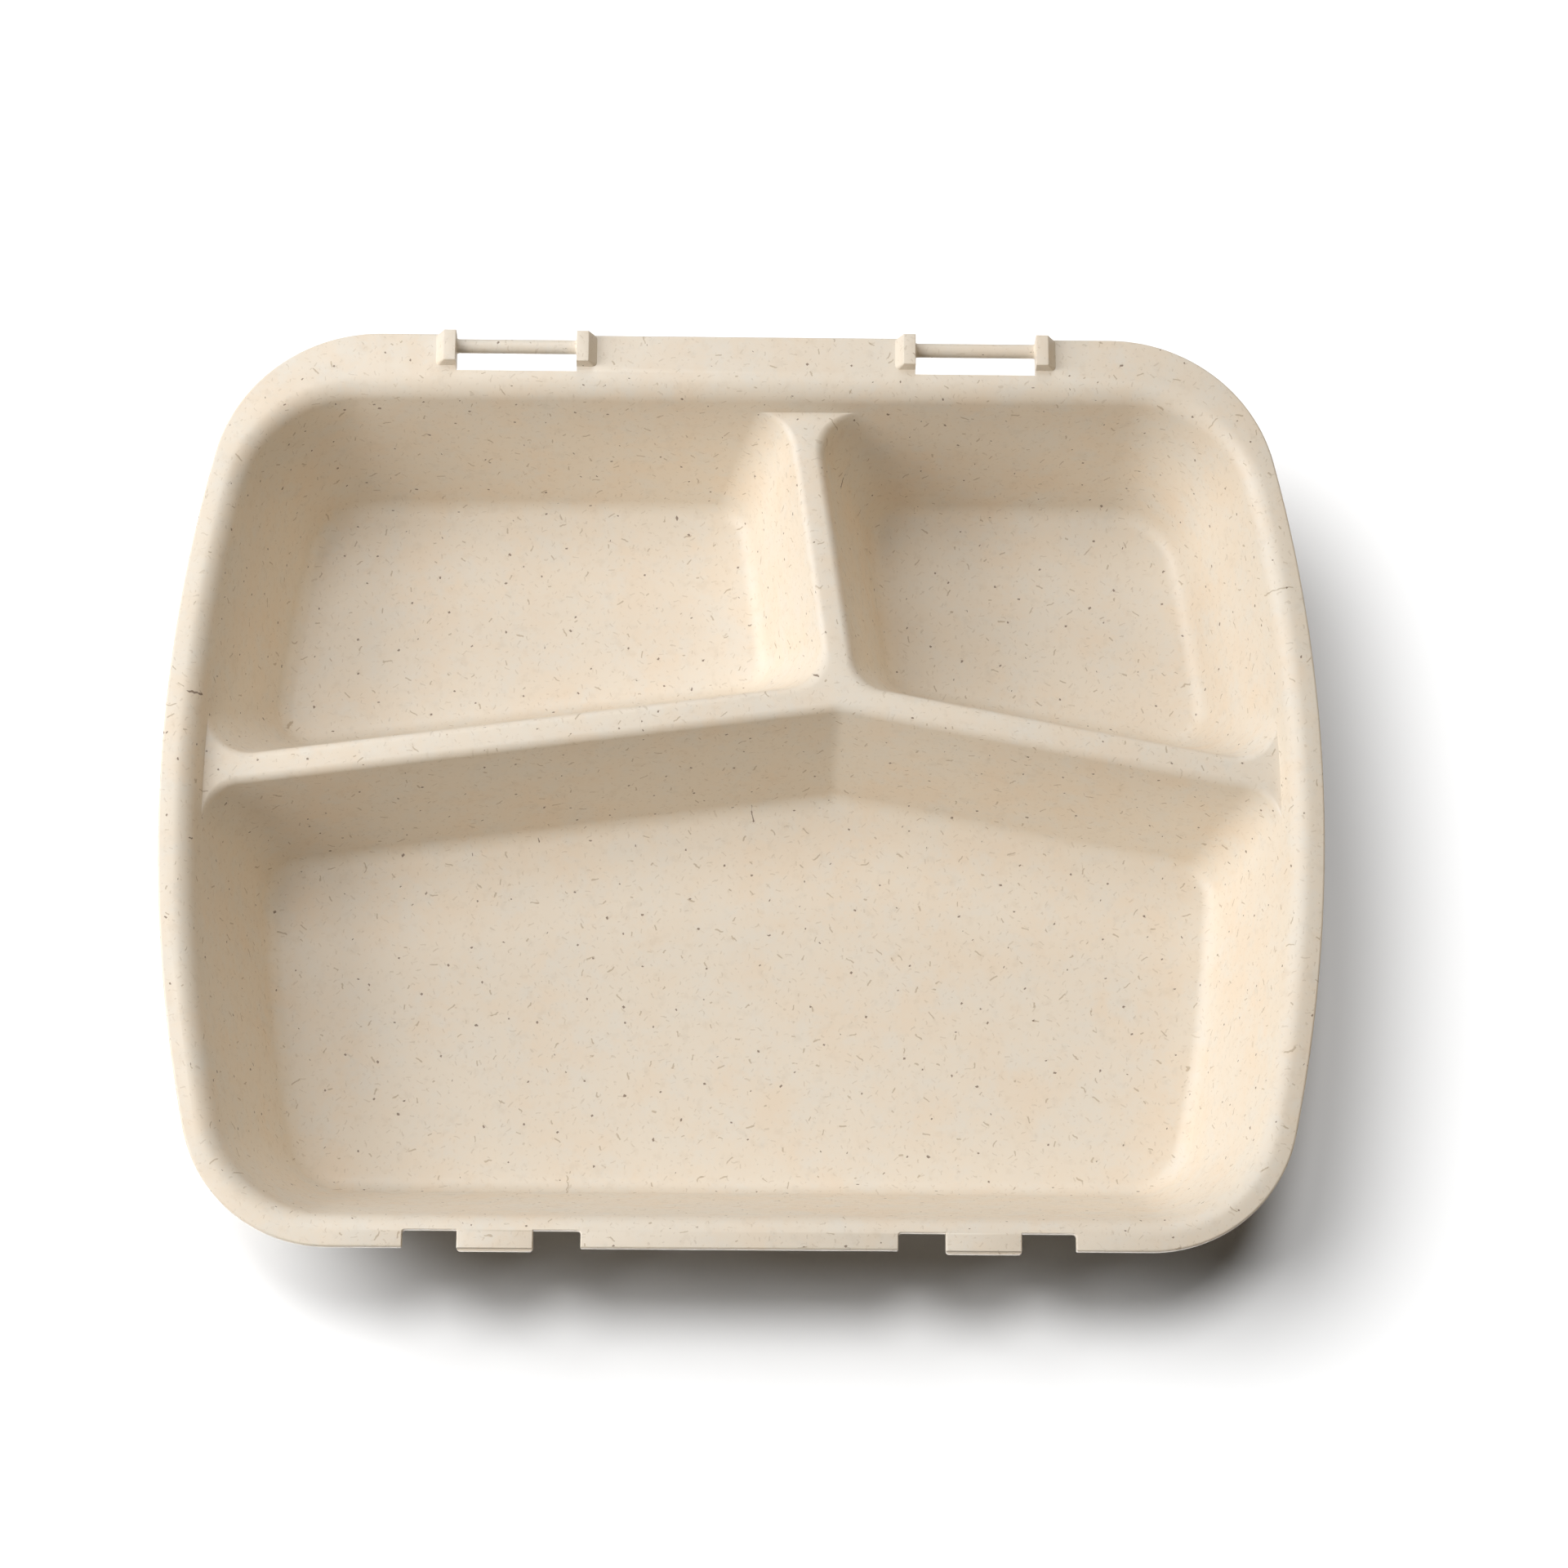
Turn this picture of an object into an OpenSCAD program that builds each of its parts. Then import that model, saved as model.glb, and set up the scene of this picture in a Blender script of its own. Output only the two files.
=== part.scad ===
// Base tray of a reusable three-compartment meal container.
// One thin moulding: a flat rim with a rolled inner edge, three drafted pockets with
// low dividers between them, two hinge pins at the back and two catch tabs in front.
// +X is to the right, +Y to the hinge side and +Z up. The tray stands on Z = 0.

/* [Rim] */
// Width over the bowed sides
rim_w = 240; // [220:1:260]
// Depth of the rim from its front edge to its back edge
rim_d = 195.5; // [180:0.5:210]
// Radius of the outward bow of each side
side_r = 325; // [280:5:400]
// Widest point of the sides, measured back from the middle of the rim
widest_y = -2.3; // [-6:0.1:6]
// Corner radius of the rim at the front
front_corner_r = 30.5; // [26:0.5:36]
// Corner radius of the rim at the back
back_corner_r = 35; // [34:0.5:42]
// Corner radius of the mouth at the back, where its rolled edge starts
mouth_back_r = 30; // [26:0.5:36]
// Flat land between the outer edge and the rolled edge, at the front and sides
land_w = 2.9; // [2:0.1:4]
// Flat land at the back, which carries the hinge
back_land_w = 9.7; // [9:0.1:12]
// Radius of the rolled inner edge, over its top face
roll_r = 4.5; // [3.5:0.1:5]
// Rounding of the outer edge of the rim
edge_r = 0.5; // [0.2:0.1:0.8]

/* [Walls] */
// Height of the tray from the table to the top of the rim
tray_h = 41; // [36:0.5:44]
// Thickness of every wall, of the floors and of the rim
wall_t = 1.8; // [1.6:0.1:2.2]
// Draft angle of the walls, off the vertical
draft = 17; // [14:0.5:18]
// Radius between a wall and its floor, inside the pocket
floor_r = 4; // [3:0.5:5]
// Radius of the pocket corners beside the dividers
pocket_r = 8.5; // [6:0.5:9]

/* [Dividers] */
// How far the divider crests lie below the top of the rim
crest_drop = 6; // [5:0.5:10]
// Thickness of a divider where its side faces would meet the plane of the crest
divider_w = 5.8; // [5.4:0.1:7]
// Radius of the shoulders of the crest
crest_r = 2; // [1:0.1:2.5]
// Point where the left and right dividers meet, measured to the right of the middle
junction_x = 19.8; // [-20:0.1:25]
// Point where the left and right dividers meet, measured back from the middle
junction_y = 19.8; // [10:0.1:25]
// Fall of the left divider towards the front, in degrees
left_fall = 7.7; // [4:0.1:10]
// Fall of the right divider towards the front, in degrees
right_fall = 10.8; // [6:0.1:12]
// Lean of the rear divider to the left, in degrees
rear_lean = 8.3; // [0:0.1:10]
// How far to the right of that point the rear divider starts
rear_shift = 1.2; // [-3:0.1:3]

/* [Hinge] */
// Distance of each hinge and each catch from the middle
hinge_x = 48.8; // [40:0.1:56]
// Clear length of a hinge pin between its ears
pin_l = 25.6; // [20:0.1:30]
// Diameter of a hinge pin
pin_d = 3; // [2.5:0.1:3.2]
// Distance of the pin axis from the back edge
pin_inset = 2.5; // [2.2:0.1:2.7]
// Depth of the slot from the back edge, with the pin in its mouth
slot_d = 8.2; // [7.8:0.1:8.6]
// Thickness of an ear at its top
ear_t = 2.7; // [2.2:0.1:3.2]
// Height of an ear over the rim
ear_h = 2.5; // [2:0.1:3]
// Depth of an ear under the rim
ear_drop = 1.2; // [0.9:0.1:1.6]
// Run of the sloped outer side of an ear
ear_slope = 1.6; // [1:0.1:2]
// Run of the sloped front end of an ear
ear_nose = 0.3; // [0.2:0.1:0.8]
// How far behind the front edge of its slot an ear starts
ear_lag = 1; // [0.6:0.1:1.6]

/* [Catch] */
// Width of a catch tab
tab_w = 15.2; // [12:0.1:18]
// How far the foot of the catch ramp stands out from the front edge
tab_out = 0.6; // [0.4:0.1:1]
// Width of the notch on the inner side of each tab
inner_notch_w = 9.5; // [8:0.1:11]
// Width of the notch on the outer side of each tab
outer_notch_w = 10.9; // [8:0.1:12]
// Depth of the notches from the front edge
notch_d = 3.6; // [2.5:0.1:3.8]
// Corner radius in the notches and on the tabs, in plan
notch_r = 0.7; // [0.4:0.1:1]

/* [Hidden] */

// Facets of each of the six arcs of an outline, and of the small profile arcs
arc_steps = 10;
roll_steps = 6;
shoulder_steps = 4;
floor_steps = 5;
edge_steps = 2;
notch_steps = 4;

front_y = -rim_d / 2;
back_y = rim_d / 2;
crest_z = tray_h - crest_drop;
junction = [junction_x, junction_y];
rear_foot = [junction_x + rear_shift, junction_y];

// Horizontal thickness of a drafted wall, and the steepest normal of a rolled edge
wall_run = wall_t / cos(draft);
roll_sweep = 90 - draft;
// The straight wall starts this far in from the start of the roll and this far below the rim
roll_in = roll_r * sin(roll_sweep);
roll_drop = roll_r * (1 - cos(roll_sweep));
// Half of the flat on a crest, between its two shoulders
crest_flat = divider_w / 2 - crest_r * (1 / cos(draft) - tan(draft));
// Height of the centre of the floor radius, and how far it lies in from the wall face
floor_arc_z = wall_t + floor_r;
floor_arc_in = floor_r / cos(draft);
// A pocket corner can't be rounder than the corner of the tray down at the floor
corner_r = min(pocket_r, min(front_corner_r - land_w, mouth_back_r) - wall_in(floor_arc_z));

// Each outline is half width, front, back, widest point, side radius, front and back corner radius
rim_line = [rim_w / 2, front_y, back_y, widest_y, side_r, front_corner_r, back_corner_r];
mouth_line = [
    rim_w / 2 - land_w, front_y + land_w, back_y - back_land_w, widest_y,
    side_r - land_w, front_corner_r - land_w, mouth_back_r
];

// Each pocket is given by the directions that face its two dividers and its straight rim wall,
// and by a point in the middle plane of each divider
rear_left_pocket = [[270 + left_fall, rear_lean, 90], [junction, rear_foot]];
rear_right_pocket = [[270 - right_fall, 180 + rear_lean, 90], [junction, rear_foot]];
front_pocket = [[90 + left_fall, 90 - right_fall, 270], [junction, junction]];
POCKETS = [rear_left_pocket, rear_right_pocket, front_pocket];

// Points are kept on a grid of 0.0001 mm, so that faces meant to be level with each other are
grid = 10000;
// The pockets stand this far inside the wall above them, so that no two cuts share a face
seam = 0.02;
// A straight edge is met by two directions, this many degrees to either side of its normal
nudge = 0.01;
// Overlap of a cut with the open space beside it
over = 1;

function unit(a) = [cos(a), sin(a)];
function reversed(list) = [for (i = [len(list) - 1 : -1 : 0]) list[i]];
function on_grid(p) = [for (v = p) round(v * grid) / grid];

// How far the inner wall face lies in from the start of the roll, at height z
function wall_in(z) = roll_in + (tray_h - z - roll_drop) * tan(draft);
// How far a divider face lies from the middle plane of the divider, at height z
function divider_out(z) = divider_w / 2 + (crest_z - z) * tan(draft);

// The right half of an outline is three tangent arcs: centre, radius, first and last angle
function half_arcs(line) = let (
    side = [line[0] - line[4], line[3]],
    front = line[1] + line[5],
    back = line[2] - line[6],
    front_a = asin((front - line[3]) / (line[4] - line[5])),
    back_a = asin((back - line[3]) / (line[4] - line[6]))
) [
    [[side.x + (line[4] - line[5]) * cos(front_a), front], line[5], nudge - 90, front_a],
    [side, line[4], front_a, back_a],
    [[side.x + (line[4] - line[6]) * cos(back_a), back], line[6], back_a, 90 - nudge]
];
function arc_angles(arc, last) = [for (i = [0 : arc_steps - (last ? 0 : 1)])
    arc[2] + (arc[3] - arc[2]) * i / arc_steps];
function half_angles(line) = let (arcs = half_arcs(line)) [
    for (i = [0 : 2]) each arc_angles(arcs[i], i == 2)
];
function all_angles(line) = let (half = half_angles(line)) concat(
    half, [for (a = reversed(half)) 180 - a]
);

// The outline moved inwards by an inset, as a closed list of points
function outline(line, inset) = let (
    arcs = half_arcs(line),
    half = [for (i = [0 : 2]) for (a = arc_angles(arcs[i], i == 2))
        arcs[i][0] + (arcs[i][1] - inset) * unit(a)]
) concat(half, [for (p = reversed(half)) [-p.x, p.y]]);

// The part of a convex polygon on the near side of a line with normal n
function clipped(poly, n, reach) = [for (i = [0 : len(poly) - 1]) let (
    a = poly[i], b = poly[(i + 1) % len(poly)],
    a_over = a * n - reach, b_over = b * n - reach
) each concat(
    a_over <= 0 ? [a] : [],
    a_over * b_over < 0 ? [a + (b - a) * a_over / (a_over - b_over)] : []
)];

// The corner of a polygon that lies furthest along a direction
function furthest(poly, a) = let (along = poly * unit(a)) poly[search(max(along), along)[0]];

// The angle between two directions
function apart(a, b) = abs((a - b + 540) % 360 - 180);

// Directions in which a pocket's outline has a point: two at each of its straight walls, one at
// the straight edge of the mouth that lies across the dividers, and those of the mouth's arcs
function pocket_angles(pocket) = let (
    across = (pocket[0][2] + 180) % 360,
    straight = [for (a = pocket[0]) each [(a - nudge + 360) % 360, (a + nudge) % 360]],
    arcs = [for (a = all_angles(mouth_line)) let (b = (a + 360) % 360)
        if (min([for (c = concat(pocket[0], across)) apart(b, c)]) > 1) b]
) sorted(concat(arcs, straight, [across]));
function sorted(list) = len(list) < 2 ? list : let (
    pivot = list[floor(len(list) / 2)],
    low = [for (v = list) if (v < pivot) v],
    same = [for (v = list) if (v == pivot) v],
    high = [for (v = list) if (v > pivot) v]
) concat(sorted(low), same, sorted(high));

// A pocket cut level: the mouth cut off along both dividers, with its sharp corners rounded.
// The faces lie wall_at in from the mouth and divider_at out from the dividers.
function pocket_ring(pocket, angles, z, wall_at, divider_at, r) = let (
    n = [for (i = [0, 1]) unit(pocket[0][i])],
    reach = [for (i = [0, 1]) pocket[1][i] * n[i] - divider_at - r],
    core = clipped(clipped(outline(mouth_line, wall_at + r), n[0], reach[0]), n[1], reach[1])
) [for (a = angles) let (p = furthest(core, a) + r * unit(a)) on_grid([p.x, p.y, z])];

function line_ring(line, inset, z) = [for (p = outline(line, inset)) on_grid([p.x, p.y, z])];

// A profile is a list of levels: height, position of the wall and of the divider faces there,
// and corner radius
function level(z, divider_at) = [z, wall_in(z) + seam, divider_at, corner_r];
lid_level = level(crest_z + over, crest_flat + over);
shoulder_levels = [for (i = [0 : shoulder_steps]) let (a = roll_sweep * i / shoulder_steps)
    level(crest_z - crest_r * (1 - cos(a)), crest_flat + crest_r * sin(a))];
// The levels of a radius r about the centre of the floor radius, from the wall to the floor
function floor_levels(r) = [for (i = [0 : floor_steps]) let (
    a = draft + (90 - draft) * i / floor_steps, move_in = floor_arc_in - r * cos(a)
) [
    floor_arc_z - r * sin(a), wall_in(floor_arc_z) + seam + move_in,
    divider_out(floor_arc_z) + move_in, corner_r - move_in
]];
deck_z = crest_z - wall_t;
deck_level = [
    deck_z, wall_in(deck_z) + seam - wall_run, divider_out(deck_z) - wall_run, corner_r + wall_run
];

// A solid skinned over rings with equally many points, from the top ring to the lowest
module loft(rings) {
    n = len(rings[0]);
    last = len(rings) - 1;
    top = [[for (i = [n - 1 : -1 : 0]) i]];
    bottom = [[for (i = [0 : n - 1]) last * n + i]];
    sides = [for (k = [0 : last - 1]) for (i = [0 : n - 1]) let (
        j = (i + 1) % n, a = k * n + i, b = k * n + j
    ) each [[a, b, b + n], [a, b + n, a + n]]];
    polyhedron(points = [for (ring = rings) each ring], faces = concat(top, sides, bottom));
}

// The flat rim plate with rounded outer edges
module rim_plate() {
    loft(concat(
        [for (i = [0 : edge_steps]) let (a = 90 * i / edge_steps)
            line_ring(rim_line, edge_r * (1 - sin(a)), tray_h - edge_r * (1 - cos(a)))],
        [for (i = [0 : edge_steps]) let (a = 90 * i / edge_steps)
            line_ring(rim_line, edge_r * (1 - cos(a)), tray_h - wall_t + edge_r * (1 - sin(a)))]
    ));
}

// The outside of the tray from the underside of the rim to the underside of the crests
module basin() {
    under_r = roll_r - wall_t;
    loft(concat(
        [line_ring(mouth_line, 0, tray_h - wall_t / 2)],
        [for (i = [0 : roll_steps]) let (a = roll_sweep * i / roll_steps)
            line_ring(mouth_line, under_r * sin(a), tray_h - roll_r + under_r * cos(a))],
        [line_ring(mouth_line, wall_in(deck_z) - wall_run, deck_z)]
    ));
}

// The opening of the tray above the crests, with the rolled edge
module mouth() {
    loft(concat(
        [line_ring(mouth_line, 0, tray_h + over)],
        [for (i = [0 : roll_steps]) let (a = roll_sweep * i / roll_steps)
            line_ring(mouth_line, roll_r * sin(a), tray_h - roll_r * (1 - cos(a)))],
        [line_ring(mouth_line, wall_in(crest_z), crest_z)]
    ));
}

// The space inside a pocket, from the crests to its floor
module pocket_space(pocket) {
    angles = pocket_angles(pocket);
    loft([for (at = concat([lid_level], shoulder_levels, floor_levels(floor_r)))
        pocket_ring(pocket, angles, at[0], at[1], at[2], at[3])]);
}

// The outside of a pocket, one wall thickness outside its space
module pocket_cup(pocket) {
    angles = pocket_angles(pocket);
    loft([for (at = concat([deck_level], floor_levels(floor_r + wall_t)))
        pocket_ring(pocket, angles, at[0], at[1], at[2], at[3])]);
}

// A level rectangle as a ring
function box_ring(left, right, low, high, z) = [
    on_grid([left, low, z]), on_grid([right, low, z]), on_grid([right, high, z]), on_grid([left, high, z])
];

// The block that the slot divides into two ears, sloped on its outer sides and front end
module ear_block() {
    half = pin_l / 2 + ear_t;
    front = back_y - slot_d + ear_lag;
    loft([
        box_ring(-half, half, front + ear_nose, back_y, tray_h + ear_h),
        box_ring(-half - ear_slope, half + ear_slope, front, back_y, tray_h),
        box_ring(-half - ear_slope, half + ear_slope, front, back_y, tray_h - wall_t),
        box_ring(-half, half, front + ear_nose, back_y, tray_h - wall_t - ear_drop)
    ]);
}

// The slot that a hinge pin closes at the back edge
module hinge_slot() {
    translate([-pin_l / 2, back_y - slot_d, tray_h - wall_t - ear_drop - over])
        cube([pin_l, slot_d + over, wall_t + ear_h + ear_drop + 2 * over]);
}

// A hinge pin, its axis half way through the rim and its ends half way into the ears
module hinge_pin() {
    translate([0, back_y - pin_inset, tray_h - wall_t / 2])
        rotate([0, 90, 0])
            cylinder(h = pin_l + ear_t, d = pin_d, center = true, $fn = 48);
}

// The nose of a catch, a ramp down from the front edge of the rim, before the notches trim it
module catch_nose() {
    half = tab_w / 2 + over;
    inside = front_y + land_w / 2;
    loft([
        box_ring(-half, half, front_y, inside, tray_h),
        box_ring(-half, half, front_y - wall_t, inside, tray_h - wall_t)
    ]);
}

// Part of a circle about a centre, from one direction to another
function arc(centre, from, to) = [for (i = [0 : notch_steps])
    centre + notch_r * unit(from + (to - from) * i / notch_steps)];

// Outline of the room beside and in front of a catch tab: two notches in the rim, and all that
// lies further forward than the tab
function notches_outline() = let (
    half = tab_w / 2, left = -half - inner_notch_w, right = half + outer_notch_w,
    ahead = front_y - wall_t - over, back = front_y + notch_d,
    tab_front = front_y - tab_out + notch_r
) concat(
    [[left, ahead], [right, ahead]], arc([right - notch_r, back - notch_r], 0, 90),
    [[half, back]], arc([half - notch_r, tab_front], 0, -90),
    arc([notch_r - half, tab_front], -90, -180), [[-half, back]],
    arc([left + notch_r, back - notch_r], 90, 180)
);
module catch_notches() {
    loft([for (z = [tray_h + over, tray_h - wall_t - over])
        [for (p = notches_outline()) on_grid([p.x, p.y, z])]]);
}

// Everything that stands in both halves of the tray: right as drawn, left as its mirror image
module both_sides() {
    for (side = [0, 1])
        mirror([side, 0, 0])
            translate([hinge_x, 0, 0])
                children();
}

// The moulding without its hinge pins
module moulding() {
    difference() {
        union() {
            rim_plate();
            basin();
            for (pocket = POCKETS) pocket_cup(pocket);
            both_sides() ear_block();
            both_sides() catch_nose();
        }
        mouth();
        for (pocket = POCKETS) pocket_space(pocket);
        both_sides() hinge_slot();
        both_sides() catch_notches();
    }
}

// The whole tray, centred over its own box, which the catch tabs make longer at the front.
// The sides are drawn in chords, so the moulding is brought to its full width.
module tray() {
    color([0.87, 0.82, 0.75])
        translate([0, tab_out / 2, 0]) {
            resize([rim_w, 0, 0]) moulding();
            both_sides() hinge_pin();
        }
}

tray();
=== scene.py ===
# Dressed model of the base tray of a reusable meal container, in metres.
# One moulding of fibre-filled plastic is built up in the order in which a toolmaker would
# describe it: rim, mouth, pockets, hinges, catches, and then the finish of its surface.
import math

import bpy
import numpy as np
from mathutils import Matrix, Vector


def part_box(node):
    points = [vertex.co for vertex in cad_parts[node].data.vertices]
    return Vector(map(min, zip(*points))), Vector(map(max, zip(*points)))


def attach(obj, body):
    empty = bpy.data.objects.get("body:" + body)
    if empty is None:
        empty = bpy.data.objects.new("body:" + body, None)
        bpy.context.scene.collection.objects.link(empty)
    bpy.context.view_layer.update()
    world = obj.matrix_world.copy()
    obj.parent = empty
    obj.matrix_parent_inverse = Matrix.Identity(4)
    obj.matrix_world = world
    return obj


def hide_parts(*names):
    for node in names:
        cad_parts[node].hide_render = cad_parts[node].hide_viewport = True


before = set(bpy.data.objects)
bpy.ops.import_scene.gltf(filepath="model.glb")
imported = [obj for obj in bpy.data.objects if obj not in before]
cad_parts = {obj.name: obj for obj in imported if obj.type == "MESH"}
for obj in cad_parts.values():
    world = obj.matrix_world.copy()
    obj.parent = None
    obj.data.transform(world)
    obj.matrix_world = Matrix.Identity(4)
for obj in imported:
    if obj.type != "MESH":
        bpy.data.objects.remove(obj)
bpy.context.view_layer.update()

# Rim
# The flat edge of the moulding, bowed at the sides and rounded over along its outer edge.
# Everything else hangs from it, so its outline and height are taken from the frame.
tray_low, tray_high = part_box("tray")
ear_h = 0.0025
tab_out = 0.0006
wall_t = 0.0018
rim_w = tray_high[0] - tray_low[0]
rim_d = tray_high[1] - tray_low[1] - tab_out
tray_h = tray_high[2] - ear_h
shift_y = tab_out / 2
front_y = shift_y - rim_d / 2
back_y = shift_y + rim_d / 2
widest_ahead = 0.0023
widest_y = shift_y - widest_ahead
rim_side_r = 0.325
rim_front_r = 0.0305
rim_back_r = 0.035
edge_r = 0.0005
edge_steps = 5
arc_steps = 26


def unit(degrees):
    """A direction in the plane of the rim, 0 to the right and 90 to the back."""
    return np.array([math.cos(math.radians(degrees)), math.sin(math.radians(degrees))])


class Outline:
    """A closed outline of six tangent arcs, the same on both sides of x = 0."""

    def __init__(self, half_w, front, back, side_r, front_r, back_r):
        side = np.array([half_w - side_r, widest_y])
        low = front + front_r
        high = back - back_r
        low_a = math.degrees(math.asin((low - widest_y) / (side_r - front_r)))
        high_a = math.degrees(math.asin((high - widest_y) / (side_r - back_r)))
        low_x = side[0] + (side_r - front_r) * math.cos(math.radians(low_a))
        high_x = side[0] + (side_r - back_r) * math.cos(math.radians(high_a))
        self.arcs = [
            (np.array([low_x, low]), front_r, np.linspace(-90, low_a, arc_steps + 1)),
            (side, side_r, np.linspace(low_a, high_a, arc_steps + 1)[1:]),
            (np.array([high_x, high]), back_r, np.linspace(high_a, 90, arc_steps + 1)[1:]),
        ]

    def points(self, inset):
        """The outline moved in, from the middle of the front round to it again."""
        half = np.array([c + (r - inset) * unit(a) for c, r, angles in self.arcs for a in angles])
        return np.concatenate([half, half[::-1] * [-1, 1]])

    def angles(self):
        """The direction in which the outline faces at each of its points."""
        half = [a for _, _, angles in self.arcs for a in angles]
        return half + [180 - a for a in half[::-1]]


def level_ring(points, z):
    """An outline set at one height."""
    return np.column_stack([points, np.full(len(points), z)])


def loft(name, rings_of_each):
    """A mesh object of closed solids, each skinned over its rings from the top one down."""
    verts = []
    faces = []
    for rings in rings_of_each:
        first = len(verts)
        n = len(rings[0])
        last = first + (len(rings) - 1) * n
        verts.extend(p for ring in rings for p in ring)
        faces.append([first + i for i in range(n)])
        faces.append([last + i for i in reversed(range(n))])
        for k in range(len(rings) - 1):
            a = first + k * n
            for i in range(n):
                j = (i + 1) % n
                faces.append([a + i, a + n + i, a + n + j, a + j])
    mesh = bpy.data.meshes.new(name)
    mesh.from_pydata([tuple(v) for v in verts], [], faces)
    made = bpy.data.objects.new(name, mesh)
    bpy.context.scene.collection.objects.link(made)
    return made


def quarter(r, steps):
    """Steps of a quarter round: how far in from the edge and how far down from the top."""
    turns = np.linspace(0, math.pi / 2, steps + 1)
    return [(r * (1 - math.sin(a)), r * (1 - math.cos(a))) for a in turns]


rim_line = Outline(rim_w / 2, front_y, back_y, rim_side_r, rim_front_r, rim_back_r)
edge_round = quarter(edge_r, edge_steps)
rim_top = [level_ring(rim_line.points(away), tray_h - down) for away, down in edge_round]
rim_foot = [
    level_ring(rim_line.points(away), tray_h - wall_t + down) for away, down in edge_round[::-1]
]
rim_plate = loft("rim_plate", [rim_top + rim_foot])

# Mouth and outer skin
# The mouth is the wide opening over the dividers. Its edge rolls down into walls with draft,
# so that the moulding leaves its tool, and the skin outside follows it at one wall thickness.
land_w = 0.0029
back_land_w = 0.0097
roll_r = 0.0045
mouth_back_r = 0.030
draft = math.radians(17)
crest_drop = 0.006
crest_z = tray_h - crest_drop
deck_z = crest_z - wall_t
over = 0.001
roll_steps = 16
roll_sweep = math.pi / 2 - draft
roll_turns = np.linspace(0, roll_sweep, roll_steps + 1)
roll_in = roll_r * math.sin(roll_sweep)
roll_drop = roll_r * (1 - math.cos(roll_sweep))
wall_run = wall_t / math.cos(draft)
mouth_line = Outline(
    rim_w / 2 - land_w, front_y + land_w, back_y - back_land_w,
    rim_side_r - land_w, rim_front_r - land_w, mouth_back_r,
)


def wall_in(z):
    """How far the inner wall face lies in from the start of the roll."""
    return roll_in + (tray_h - z - roll_drop) * math.tan(draft)


def rolled(r):
    """Levels of a roll of radius r, which all share one centre line under the rim."""
    return [
        level_ring(mouth_line.points(r * math.sin(a)), tray_h - roll_r + r * math.cos(a))
        for a in roll_turns
    ]


mouth = loft("mouth", [
    [level_ring(mouth_line.points(0), tray_h + over)]
    + rolled(roll_r)
    + [level_ring(mouth_line.points(wall_in(crest_z)), crest_z)]
])
skin = loft("skin", [
    [level_ring(mouth_line.points(0), tray_h - wall_t / 2)]
    + rolled(roll_r - wall_t)
    + [level_ring(mouth_line.points(wall_in(deck_z) - wall_run), deck_z)]
])

# Pockets and dividers
# Three food pockets share the walls of the mouth, and low hollow dividers part them. Each
# pocket has rounded corners, a rounded floor edge and rounded shoulders up to the crests.
divider_w = 0.0058
crest_r = 0.002
floor_r = 0.004
floor_z = wall_t + floor_r
floor_in = floor_r / math.cos(draft)
# A pocket corner can't be rounder than the corner of the tray down at the floor.
pocket_corner_r = 0.0085
pocket_r = min(pocket_corner_r, rim_front_r - land_w - wall_in(floor_z))
left_fall = 7.7
right_fall = 10.8
rear_lean = 8.3
junction_x = 0.0198
junction_back = 0.0198
rear_shift = 0.0012
junction = np.array([junction_x, junction_back + shift_y])
rear_foot = junction + [rear_shift, 0]
crest_flat = divider_w / 2 - crest_r * (1 / math.cos(draft) - math.tan(draft))
shoulder_steps = 8
floor_steps = 12
# An outline has no point within straight_gap degrees of the way that a straight wall faces,
# but for the two that end the wall, which are turned straight_turn from it.
straight_gap = 1
straight_turn = 0.01
# How far the pockets stand back from the mouth, so that their walls don't coincide.
seam = 0.00001
# The two dividers of each pocket, by the direction that each faces and a point on it, and
# the direction of its outer wall.
pocket_sides = {
    "rear_left": ((270 + left_fall, junction), (rear_lean, rear_foot), 90),
    "rear_right": ((270 - right_fall, junction), (180 + rear_lean, rear_foot), 90),
    "front": ((90 + left_fall, junction), (90 - right_fall, junction), 270),
}


def divider_out(z):
    """How far a divider face lies from the middle plane of the divider."""
    return divider_w / 2 + (crest_z - z) * math.tan(draft)


def cut_off(corners, n, reach):
    """What is left of a convex outline on the near side of a line with the normal n."""
    kept = []
    for a, b in zip(corners, np.roll(corners, -1, axis=0)):
        a_over = a @ n - reach
        b_over = b @ n - reach
        if a_over <= 0:
            kept.append(a)
        if a_over * b_over < 0:
            kept.append(a + (b - a) * a_over / (a_over - b_over))
    return np.array(kept)


def turned(a, b):
    """The angle between two directions."""
    return abs((a - b + 540) % 360 - 180)


def pocket_turns(sides):
    """Directions in which a pocket's outline has a point, two at each of its straight walls."""
    straight = [sides[0][0] % 360, sides[1][0] % 360, sides[2]]
    inner_corner = (sides[2] + 180) % 360
    curved = [
        a % 360 for a in mouth_line.angles()
        if min(turned(a, s) for s in straight + [inner_corner]) > straight_gap
    ]
    pairs = [(s + turn) % 360 for s in straight for turn in (-straight_turn, straight_turn)]
    return sorted(curved + pairs + [inner_corner])


def pocket_ring(sides, z, wall_at, divider_at, r):
    """One level of a pocket: the mouth cut off along two dividers, its corners rounded."""
    core = mouth_line.points(wall_at + r)
    for turn, on_line in sides[:2]:
        core = cut_off(core, unit(turn), on_line @ unit(turn) - divider_at - r)
    ring = [core[np.argmax(core @ unit(a))] + r * unit(a) for a in pocket_turns(sides)]
    return level_ring(np.array(ring), z)


def shoulder(a):
    """Height, wall place, divider place and corner radius along the shoulder of a crest."""
    z = crest_z - crest_r * (1 - math.cos(a))
    return z, wall_in(z) + seam, crest_flat + crest_r * math.sin(a), pocket_r


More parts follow.
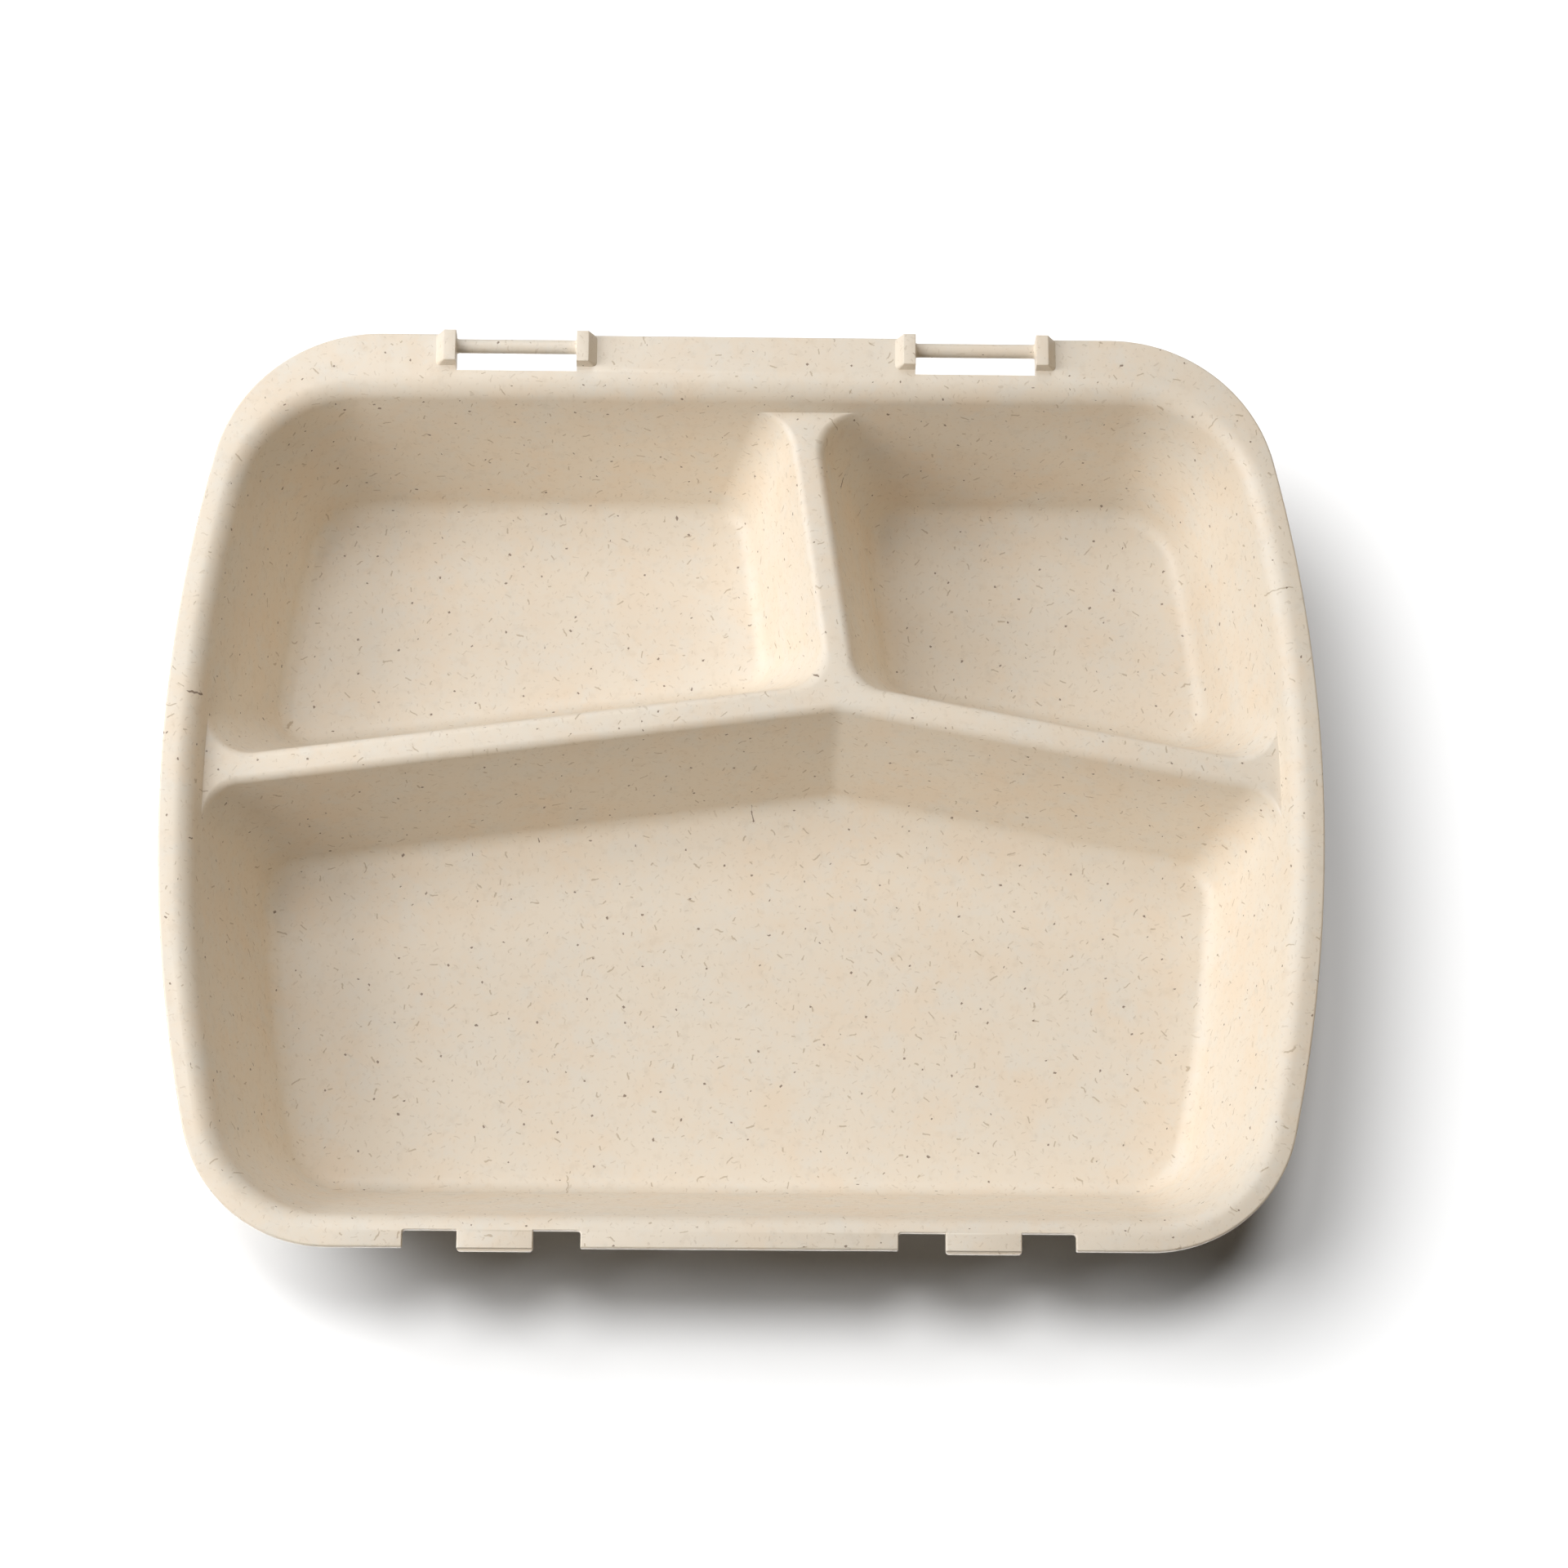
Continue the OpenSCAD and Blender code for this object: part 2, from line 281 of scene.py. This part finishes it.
def floor_edge(r, a):
    """The same along a round of radius r between a wall and its floor."""
    move_in = floor_in - r * math.cos(a)
    at_wall = wall_in(floor_z) + seam + move_in
    return floor_z - r * math.sin(a), at_wall, divider_out(floor_z) + move_in, pocket_r - move_in


shoulder_turns = np.linspace(0, roll_sweep, shoulder_steps + 1)
floor_turns = np.linspace(draft, math.pi / 2, floor_steps + 1)
above = (crest_z + over, wall_in(crest_z + over) + seam, crest_flat + over, pocket_r)
deck = (
    deck_z, wall_in(deck_z) + seam - wall_run, divider_out(deck_z) - wall_run, pocket_r + wall_run
)
space_levels = [above] + [shoulder(a) for a in shoulder_turns]
space_levels += [floor_edge(floor_r, a) for a in floor_turns]
cup_levels = [deck] + [floor_edge(floor_r + wall_t, a) for a in floor_turns]
spaces = loft("pocket_spaces", [
    [pocket_ring(sides, *level) for level in space_levels] for sides in pocket_sides.values()
])
cups = loft("pocket_cups", [
    [pocket_ring(sides, *level) for level in cup_levels] for sides in pocket_sides.values()
])

# Hinges
# Two slots are cut into the back of the rim. A pair of raised ears holds a round pin across
# each slot, on which the hooks of a lid snap, and the roots of the pin are flared into them.
hinge_x = 0.0488
pin_l = 0.0256
pin_r = 0.0015
pin_sides = 48
pin_inset = 0.0025
pin_y = back_y - pin_inset
pin_z = tray_h - wall_t / 2
flare_r = 0.0003
flare_start = 0.2
flare_points = 5
slot_d = 0.0082
slot_y = back_y - slot_d
slot_round = 0.0002
ear_t = 0.0027
ear_drop = 0.0012
ear_slope = 0.0016
ear_nose = 0.0003
ear_lag = 0.001
ear_y = slot_y + ear_lag
ear_round = 0.00025
ear_foot_r = 0.001
sharp_r = 0.00005
round_steps = 4
corner_steps = 5


def box_ring(left, right, low, high, z, r=sharp_r):
    """A level rectangle with rounded corners."""
    corners = [
        (right - r, high - r, 0), (left + r, high - r, 90),
        (left + r, low + r, 180), (right - r, low + r, 270),
    ]
    steps = np.linspace(0, 90, corner_steps + 1)
    points = [np.array([x, y]) + r * unit(start + a) for x, y, start in corners for a in steps]
    return level_ring(np.array(points), z)


ear_half = pin_l / 2 + ear_t
ear_front = ear_y + ear_nose
ear_top = [
    box_ring(
        away - ear_half, ear_half - away, ear_front + away, back_y - away,
        tray_h + ear_h - down, ear_round,
    )
    for away, down in quarter(ear_round, round_steps)
]
ear_root = [
    box_ring(-ear_half - ear_slope, ear_half + ear_slope, ear_y, back_y, z, ear_foot_r)
    for z in (tray_h, tray_h - wall_t)
]
ear_low = box_ring(
    -ear_half, ear_half, ear_front, back_y, tray_h - wall_t - ear_drop, ear_round
)
ear_block = loft("ear_block", [ear_top + ear_root + [ear_low]])
slot_half = pin_l / 2
slot_end = back_y + over


def slot_ring(side_out, front_out, z):
    """One level of a slot, widened at its sides and to the front."""
    return box_ring(-slot_half - side_out, slot_half + side_out, slot_y - front_out, slot_end, z)


slot_rounds = quarter(slot_round, round_steps)
slot = loft("slot", [
    [slot_ring(slot_round, slot_round, tray_h + ear_h + over)]
    + [slot_ring(out, slot_round, tray_h + ear_h - down) for out, down in slot_rounds]
    + [slot_ring(0, out, tray_h - down) for out, down in slot_rounds]
    + [slot_ring(0, 0, tray_h - wall_t - ear_drop - over)]
])


def pin_rings():
    """Rings round the pin from its left end to its right, flared at both roots."""
    root = [(-pin_l / 2 - ear_t / 2, pin_r + flare_r), (-pin_l / 2, pin_r + flare_r)]
    root += [
        (flare_r * (2 - 2 * math.cos(a)) - pin_l / 2, pin_r + flare_r * (1 - math.sin(a)))
        for a in np.linspace(flare_start, math.pi / 2, flare_points)
    ]
    profile = root + [(-x, r) for x, r in root[::-1]]
    turns = [unit(a) for a in np.linspace(0, 360, pin_sides, endpoint=False)]
    return [np.array([[x, pin_y - r * t[0], pin_z + r * t[1]] for t in turns]) for x, r in profile]


pin = loft("pin", [pin_rings()])

# Catches
# Two tabs stand free between notches in the front of the rim. Each has a short ramp and a lip
# along its front, over which a catch on a lid snaps, and all its edges are rounded a little.
tab_w = 0.0152
inner_notch_w = 0.0095
outer_notch_w = 0.0109
notch_d = 0.0036
notch_r = 0.0007
flange_r = 0.0004
notch_round = 0.0003
notch_steps = 6
ramp_run = 0.0002
ramp_drop = 0.0005
ledge_drop = 0.0007
lip_over = 0.00025
lip_y = front_y - tab_out


def notch_ring(z, out=0.0):
    """Outline of the room beside and in front of a tab, pushed outwards into the rim."""
    half = tab_w / 2 - out
    left = -tab_w / 2 - inner_notch_w - out
    right = tab_w / 2 + outer_notch_w + out
    back = front_y + notch_d + out
    ahead = lip_y - over
    tab_front = lip_y + out
    steps = np.linspace(0, 90, notch_steps + 1)
    low = front_y + flange_r

    def arc(x, y, r, start, turn):
        """Points round a centre, from a direction on through a quarter turn."""
        return [np.array([x, y]) + r * unit(start + turn * a / 90) for a in steps]

    points = [np.array([left - flange_r, ahead]), np.array([right + flange_r, ahead])]
    points += arc(right + flange_r, low, flange_r, 270, -90)
    points += arc(right - notch_r, back - notch_r, notch_r, 0, 90)
    points += [np.array([half, back])]
    points += arc(half - notch_r, tab_front + notch_r, notch_r, 0, -90)
    points += arc(notch_r - half, tab_front + notch_r, notch_r, 270, -90)
    points += [np.array([-half, back])]
    points += arc(left + notch_r, back - notch_r, notch_r, 90, 90)
    points += arc(left - flange_r, low, flange_r, 0, -90)
    return level_ring(np.array(points), z)


notches = loft("notches", [
    [notch_ring(tray_h + over, notch_round)]
    + [notch_ring(tray_h - down, out) for out, down in quarter(notch_round, round_steps)]
    + [notch_ring(tray_h - wall_t - over)]
])
nose_half = tab_w / 2 + over
nose_back = front_y + land_w / 2
nose = loft("nose", [[
    box_ring(-nose_half, nose_half, front, nose_back, tray_h - down)
    for front, down in (
        (front_y, 0), (front_y - ramp_run, ramp_drop),
        (lip_y - lip_over, ledge_drop), (lip_y - lip_over, wall_t),
    )
]])

# Moulding
# Rim, skin, cups, ears and tabs run together in one shot of plastic, and the tool leaves the
# mouth, pockets, slots and notches open. The hinge and catch forms stand in both halves.
tools = {
    "Skin": skin, "Cups": cups, "Ear": ear_block, "Nose": nose, "Mouth": mouth,
    "Pockets": spaces, "Slot": slot, "Notches": notches, "Pin": pin,
}
sharp_angle = math.radians(28)


def input_of(node, name):
    """An input by its name, with _ for a space, or by its place, as i0 or i1."""
    if name[1:].isdigit():
        return node.inputs[int(name[1:])]
    return node.inputs[name.replace("_", " ")]


class Nodes:
    """A node tree, to which add() adds one node."""

    def __init__(self, tree):
        self.tree = tree

    def add(self, kind, settings=None, **values):
        """A node of a type, its settings made first, then the values or links of its sockets."""
        node = self.tree.nodes.new(kind)
        for name, value in (settings or {}).items():
            setattr(node, name, value)
        for name, value in values.items():
            self.feed(input_of(node, name), value)
        return node

    def feed(self, socket, value):
        """Sets a socket, or links it, to several others where they come as a list."""
        for one in value if isinstance(value, list) else [value]:
            one = getattr(one, "socket", one)
            if isinstance(one, bpy.types.NodeSocket):
                self.tree.links.new(one, socket)
            else:
                socket.default_value = one


def both_sides_tree():
    """A group that sets its geometry at a distance to the right, and its mirror image left."""
    tree = bpy.data.node_groups.new("both_sides", "GeometryNodeTree")
    tree.interface.new_socket("Geometry", in_out="INPUT", socket_type="NodeSocketGeometry")
    tree.interface.new_socket("Distance", in_out="INPUT", socket_type="NodeSocketFloat")
    tree.interface.new_socket("Geometry", in_out="OUTPUT", socket_type="NodeSocketGeometry")
    nodes = Nodes(tree)
    given = nodes.add("NodeGroupInput").outputs
    place = nodes.add("ShaderNodeCombineXYZ", X=given["Distance"]).outputs[0]
    right = nodes.add("GeometryNodeTransform", Geometry=given["Geometry"], Translation=place)
    left = nodes.add("GeometryNodeTransform", Geometry=right.outputs[0], Scale=(-1, 1, 1))
    outward = nodes.add("GeometryNodeFlipFaces", Mesh=left.outputs[0])
    joined = nodes.add("GeometryNodeJoinGeometry", Geometry=[right.outputs[0], outward.outputs[0]])
    nodes.add("NodeGroupOutput", Geometry=joined.outputs[0])
    return tree


def moulding_tree():
    """The tray from its rim plate: what is added, then what is cut out, then the hinge pins."""
    tree = bpy.data.node_groups.new("moulding", "GeometryNodeTree")
    new_socket = tree.interface.new_socket
    new_socket("Geometry", in_out="INPUT", socket_type="NodeSocketGeometry")
    for name in tools:
        new_socket(name, in_out="INPUT", socket_type="NodeSocketObject")
    new_socket("Hinge Distance", in_out="INPUT", socket_type="NodeSocketFloat")
    new_socket("Sharp Angle", in_out="INPUT", socket_type="NodeSocketFloat")
    new_socket("Material", in_out="INPUT", socket_type="NodeSocketMaterial")
    new_socket("Geometry", in_out="OUTPUT", socket_type="NodeSocketGeometry")
    nodes = Nodes(tree)
    given = nodes.add("NodeGroupInput").outputs
    sides = both_sides_tree()

    def tool(name):
        return nodes.add("GeometryNodeObjectInfo", Object=given[name]).outputs["Geometry"]

    def twice(name):
        group = nodes.add("GeometryNodeGroup", {"node_tree": sides})
        nodes.feed(group.inputs["Geometry"], tool(name))
        nodes.feed(group.inputs["Distance"], given["Hinge Distance"])
        return group.outputs[0]

    def joined(parts):
        settings = {"operation": "UNION", "solver": "MANIFOLD"}
        return nodes.add("GeometryNodeMeshBoolean", settings, i1=parts).outputs[0]

    def cut(solid, spaces_in_it):
        settings = {"operation": "DIFFERENCE", "solver": "MANIFOLD"}
        node = nodes.add("GeometryNodeMeshBoolean", settings, i0=solid, i1=spaces_in_it)
        return node.outputs[0]

    plate = given["Geometry"]
    solid = joined([plate, tool("Skin"), tool("Cups"), twice("Ear"), twice("Nose")])
    hollow = cut(solid, [tool("Mouth"), tool("Pockets"), twice("Slot"), twice("Notches")])
    whole = joined([hollow, twice("Pin")])
    smooth = nodes.add("GeometryNodeSetShadeSmooth", Geometry=whole, Shade_Smooth=True)
    angle = nodes.add("GeometryNodeInputMeshEdgeAngle").outputs["Unsigned Angle"]
    is_sharp = nodes.add(
        "FunctionNodeCompare", {"operation": "GREATER_THAN"}, i0=angle, i1=given["Sharp Angle"],
    )
    creased = nodes.add(
        "GeometryNodeSetShadeSmooth", {"domain": "EDGE"},
        Geometry=smooth.outputs[0], Selection=is_sharp.outputs[0], Shade_Smooth=False,
    )
    real = nodes.add("GeometryNodeRealizeInstances", Geometry=creased.outputs[0])
    coated = nodes.add(
        "GeometryNodeSetMaterial", Geometry=real.outputs[0], Material=given["Material"],
    )
    nodes.add("NodeGroupOutput", Geometry=coated.outputs[0])
    return tree


def made_by_tree(source, name, tree, inputs):
    """The plain mesh object that a node tree makes of a source object."""
    modifier = source.modifiers.new(name, "NODES")
    modifier.node_group = tree
    for item in tree.interface.items_tree:
        if item.in_out == "INPUT" and item.name in inputs:
            modifier[item.identifier] = inputs[item.name]
    seen = source.evaluated_get(bpy.context.evaluated_depsgraph_get())
    mesh = bpy.data.meshes.new_from_object(seen)
    source.modifiers.clear()
    made = bpy.data.objects.new(name, mesh)
    bpy.context.scene.collection.objects.link(made)
    return made


class Value:
    """A socket that holds a number or a vector; arithmetic on it adds nodes to its tree."""

    def __init__(self, nodes, socket):
        self.nodes = nodes
        self.socket = socket
        self.is_vector = socket.type in ("VECTOR", "RGBA")

    def worked(self, operation, *terms, output=0):
        """What a Math node, or on a vector a Vector Math node, makes of some terms."""
        kind = "ShaderNodeVectorMath" if self.is_vector else "ShaderNodeMath"
        values = {f"i{place}": term for place, term in enumerate(terms)}
        node = self.nodes.add(kind, {"operation": operation}, **values)
        return Value(self.nodes, node.outputs[output])

    def __add__(self, other):
        return self.worked("ADD", self, other)

    __radd__ = __add__

    def __sub__(self, other):
        return self.worked("SUBTRACT", self, other)

    def __rsub__(self, other):
        return self.worked("SUBTRACT", other, self)

    def __mul__(self, other):
        if not self.is_vector:
            return self.worked("MULTIPLY", self, other)
        node = self.nodes.add("ShaderNodeVectorMath", {"operation": "SCALE"}, i0=self, Scale=other)
        return Value(self.nodes, node.outputs[0])

    __rmul__ = __mul__

    def __truediv__(self, other):
        return self.worked("DIVIDE", self, other)

    def __rtruediv__(self, other):
        return self.worked("DIVIDE", other, self)

    def __abs__(self):
        return self.worked("ABSOLUTE", self)

    def dot(self, other):
        return self.worked("DOT_PRODUCT", self, other, output="Value")

    def length(self):
        return self.worked("LENGTH", self, output="Value")

    def direction(self):
        return self.worked("NORMALIZE", self)

    def ramp(self, start, end, low=0.0, high=1.0):
        """Goes smoothly from low to high between start and end, and stays there beyond them."""
        node = self.nodes.add(
            "ShaderNodeMapRange", {"interpolation_type": "SMOOTHSTEP"}, Value=self,
            From_Min=float(start), From_Max=float(end), To_Min=float(low), To_Max=float(high),
        )
        return Value(self.nodes, node.outputs["Result"])


def noise(nodes, place, size, detail, roughness=0.5):
    """Even noise round a half, with forms of a size in millimetres."""
    node = nodes.add(
        "ShaderNodeTexNoise", Vector=place, Scale=1.0 / size, Detail=detail, Roughness=roughness,
    )
    return Value(nodes, node.outputs["Fac"])


def fibres(nodes, place, facing, spacing, half_length, half_width, shift):
    """A mask of short strokes that lie along the surface, each with a heading of its own."""
    shortest = 0.4
    soft_side = 0.3
    soft_end = 0.3
    moved = place + (shift, 2 * shift, 3 * shift)
    cells = nodes.add("ShaderNodeTexVoronoi", Vector=moved, Scale=1.0 / spacing).outputs
    chance = nodes.add("ShaderNodeTexWhiteNoise", Vector=cells["Color"]).outputs

    def along_surface(way):
        return way - facing * way.dot(facing)

    away = along_surface(moved - cells["Position"])
    heading = along_surface(Value(nodes, chance["Color"]) - (0.5, 0.5, 0.5)).direction()
    along = away.dot(heading)
    aside = (away - heading * along).length()
    length = (Value(nodes, chance["Value"]) + shortest) * half_length
    inside = aside.ramp((1 + soft_side) * half_width, (1 - soft_side) * half_width)
    return inside * (abs(along) / length).ramp(1.0, 1.0 - soft_end)


def blend(nodes, factor, low, high):
    """A colour between low and high."""
    node = nodes.add("ShaderNodeMix", {"data_type": "RGBA"})
    for name, value in (("Factor_Float", factor), ("A_Color", low), ("B_Color", high)):
        nodes.feed(next(s for s in node.inputs if s.identifier == name), value)
    return Value(nodes, next(s for s in node.outputs if s.identifier == "Result_Color"))


def fibre_filled_plastic():
    """Cream plastic with a faint warm mottling, brown plant fibres and a satin skin."""
    cream = (0.785, 0.708, 0.600, 1)
    peach = (0.790, 0.672, 0.535, 1)
    chalk = (0.760, 0.712, 0.632, 1)
    husk = (0.36, 0.26, 0.15, 1)
    bran = (0.13, 0.070, 0.035, 1)
    millimetres = 1000.0
    bend_scale = 0.8
    bend_reach = 0.8
    satin_low = 0.42
    satin_high = 0.54
    wave_h = 0.05
    pore_h = 0.006
    strand_h = 0.006
    bump_unit = 0.001
    made = bpy.data.materials.new("fibre_filled_plastic")
    made.use_nodes = True
    nodes = Nodes(made.node_tree)
    shader = made.node_tree.nodes["Principled BSDF"]
    surface = nodes.add("ShaderNodeTexCoord").outputs
    facing = Value(nodes, surface["Normal"])
    place = Value(nodes, surface["Object"]) * millimetres

    # Mottling, coarse to fine, each tint laid over the last where its noise runs high.
    colour = cream
    for size, detail, roughness, offset, start, end, most, tint in (
        (16.0, 5.0, 0.62, (0.0, 0.0, 0.0), 0.38, 0.72, 0.80, peach),
        (7.0, 5.0, 0.65, (40.0, 7.0, 3.0), 0.42, 0.72, 0.80, chalk),
        (0.9, 3.0, 0.70, (0.0, 0.0, 0.0), 0.45, 0.75, 0.20, peach),
        (2.6, 3.0, 0.60, (5.0, 60.0, 9.0), 0.52, 0.75, 0.10, husk),
    ):
        layer = noise(nodes, place + offset, size, detail, roughness)
        colour = blend(nodes, layer.ramp(start, end, 0.0, most), colour, tint)

    # Plant fibres, a little bent, from fine dust to long strands and round specks.
    bend = nodes.add("ShaderNodeTexNoise", Vector=place, Scale=bend_scale, Detail=1.0)
    bent = place + Value(nodes, bend.outputs["Color"]) * bend_reach
    masks = {}
    for kind, spacing, half_length, half_width, shift, strength, tint in (
        ("dust", 2.2, 0.40, 0.13, 11.0, 0.12, husk),
        ("strokes", 3.8, 0.55, 0.13, 23.0, 0.24, husk),
        ("strands", 8.5, 0.80, 0.14, 37.0, 0.55, husk),
        ("specks", 10.0, 0.24, 0.20, 51.0, 0.80, bran),
    ):
        masks[kind] = fibres(nodes, bent, facing, spacing, half_length, half_width, shift)
        colour = blend(nodes, masks[kind] * strength, colour, tint)
    nodes.feed(shader.inputs["Base Color"], colour)

    # A satin skin with faint waves and pores, in which the strands stand out a little.
    rough = noise(nodes, place, 2.0, 3.0).ramp(0.3, 0.7, satin_low, satin_high)
    nodes.feed(shader.inputs["Roughness"], rough)
    waves = noise(nodes, place, 6.0, 2.0) * wave_h
    pores = noise(nodes, place, 0.35, 2.0) * pore_h
    height = waves + pores + masks["strands"] * strand_h
    bump = nodes.add("ShaderNodeBump", Height=height, Distance=bump_unit)
    nodes.feed(shader.inputs["Normal"], bump.outputs["Normal"])
    return made


plastic = fibre_filled_plastic()
moulding = made_by_tree(
    rim_plate, "tray_moulding", moulding_tree(),
    {**tools, "Hinge Distance": hinge_x, "Sharp Angle": sharp_angle, "Material": plastic},
)
for tool_object in [rim_plate, *tools.values()]:
    bpy.data.objects.remove(tool_object)
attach(moulding, "root")
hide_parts("tray")

# Camera
# It looks down on the tray from in front, turned and rolled a little, as the photograph does.
# Its lens and aim are in pixels of the photograph's square frame, its distance in metres.
image_px = 1920
focal_px = 4733.68
distance = 0.79698
tilt = math.radians(74.11)
yaw = math.radians(2.71)
roll = math.radians(3.08)
centre_px = (909.81, 952.13)
level_right = Vector((math.cos(yaw), -math.sin(yaw), 0))
ahead = Vector((math.sin(yaw) * math.cos(tilt), math.cos(yaw) * math.cos(tilt), -math.sin(tilt)))
level_up = level_right.cross(ahead)
right = math.cos(roll) * level_right + math.sin(roll) * level_up
up = math.cos(roll) * level_up - math.sin(roll) * level_right
aimed_off = Vector((centre_px[0] - image_px / 2, centre_px[1] - image_px / 2)) * distance / focal_px
camera = bpy.data.objects.new("camera", bpy.data.cameras.new("camera"))
bpy.context.scene.collection.objects.link(camera)
camera.data.lens = focal_px / image_px * camera.data.sensor_width
camera.location = (
    Vector((0, shift_y, tray_h)) - distance * ahead - aimed_off.x * right + aimed_off.y * up
)
camera.rotation_euler = Matrix((right, up, -ahead)).transposed().to_euler()
bpy.context.scene.camera = camera

# Table
# A plain white table top. It is seen at full white where no shadow falls, throws little of
# its light back up at the tray, and is clear from below.
scene = bpy.context.scene
table_half = 6.0
table_mesh = bpy.data.meshes.new("table")
table_signs = ((-1, -1), (1, -1), (1, 1), (-1, 1))
table_corners = [(x * table_half, y * table_half, 0) for x, y in table_signs]
table_mesh.from_pydata(table_corners, [], [(0, 1, 2, 3)])
table = bpy.data.objects.new("table", table_mesh)
scene.collection.objects.link(table)


def seen_directly(nodes):
    """One where a camera, glossy or transmission ray looks, and nought for the light itself."""
    rays = nodes.add("ShaderNodeLightPath").outputs
    seen = Value(nodes, rays["Is Camera Ray"]) + rays["Is Glossy Ray"]
    seen = seen + rays["Is Transmission Ray"]
    return seen.worked("MINIMUM", seen, 1.0)


def white_table():
    """A dull white that throws only a little of its light back up at the tray."""
    to_the_light = (0.15, 0.15, 0.15, 1)
    to_the_eye = (1, 1, 1, 1)
    made = bpy.data.materials.new("white_table")
    made.use_nodes = True
    nodes = Nodes(made.node_tree)
    shader = made.node_tree.nodes["Principled BSDF"]
    shade = blend(nodes, seen_directly(nodes), to_the_light, to_the_eye)
    nodes.feed(shader.inputs["Base Color"], shade)
    shader.inputs["Roughness"].default_value = 1.0
    shader.inputs["Specular IOR Level"].default_value = 0.0
    below = nodes.add("ShaderNodeNewGeometry").outputs["Backfacing"]
    clear = nodes.add("ShaderNodeBsdfTransparent").outputs["BSDF"]
    mixed = nodes.add("ShaderNodeMixShader", i0=below, i1=shader.outputs["BSDF"], i2=clear)
    finish = made.node_tree.nodes["Material Output"]
    nodes.feed(finish.inputs["Surface"], mixed.outputs["Shader"])
    return made


table.data.materials.append(white_table())

# Lamps
# A tall bank of soft lamps on the left shapes the pockets, two weaker ones stand behind, and
# a little warm light comes from the front left and the right. Two suns on the table alone
# cast the tray's soft shadow, and a third shows the underside to a view from below.
lamp_away = 0.95
white = (1, 1, 1)
warm = (1.0, 0.82, 0.58)


def linked(name, thing):
    """A collection that holds one object, for a lamp to light or be blocked by."""
    group = bpy.data.collections.new(name)
    group.objects.link(thing)
    return group


def hang_lamp(name, kind, azimuth, elevation, energy, lights):
    """A lamp that faces the tray; azimuth 0 is to the right of it and 90 behind it."""
    level = math.cos(math.radians(elevation)) * unit(azimuth)
    towards = Vector((*level, math.sin(math.radians(elevation))))
    lamp = bpy.data.objects.new(name, bpy.data.lights.new(name, kind))
    lamp.data.energy = energy
    lamp.location = Vector((0, 0, tray_h)) + lamp_away * towards
    lamp.rotation_euler = towards.to_track_quat("Z", "Y").to_euler()
    lamp.light_linking.receiver_collection = lights
    scene.collection.objects.link(lamp)
    return lamp


only_tray = linked("only_tray", moulding)
only_table = linked("only_table", table)
for name, azimuth, elevation, size, watts, colour in (
    ("left_low", 180, 20, 0.35, 3.1, white),
    ("left", 180, 40, 0.35, 3.2, white),
    ("left_high", 180, 60, 0.35, 2.2, white),
    ("behind_high", 110, 56, 0.40, 2.0, white),
    ("behind_low", 90, 22, 0.60, 1.6, white),
    ("front_left_low", 225, 22, 0.60, 1.2, warm),
    ("right", 0, 30, 0.80, 1.9, warm),
):
    lamp = hang_lamp(name, "AREA", azimuth, elevation, watts, only_tray)
    lamp.data.shape = "DISK"
    lamp.data.size = size
    lamp.data.color = colour
for name, azimuth, elevation, spread, strength, lights in (
    ("over_table", 95, 77, 17, 1.15, only_table),
    ("beside_table", 152, 52, 46, 3.35, only_table),
    ("under_tray", 250, -60, 60, 1.5, only_tray),
):
    lamp = hang_lamp(name, "SUN", azimuth, elevation, strength, lights)
    lamp.data.angle = math.radians(spread)
# The last of them shines up through the table and lights nothing by bounces.
lamp.light_linking.blocker_collection = only_tray
lamp.data.cycles.max_bounces = 0

# Room
# An open white room all round. It is seen directly, in gloss and through clear things, and
# gives no other light.
scene.view_settings.view_transform = "Standard"
room = bpy.data.worlds.new("white_room")
room.use_nodes = True
backdrop = Nodes(room.node_tree)
air = room.node_tree.nodes["Background"]
air.inputs["Color"].default_value = (1, 1, 1, 1)
backdrop.feed(air.inputs["Strength"], seen_directly(backdrop))
scene.world = room
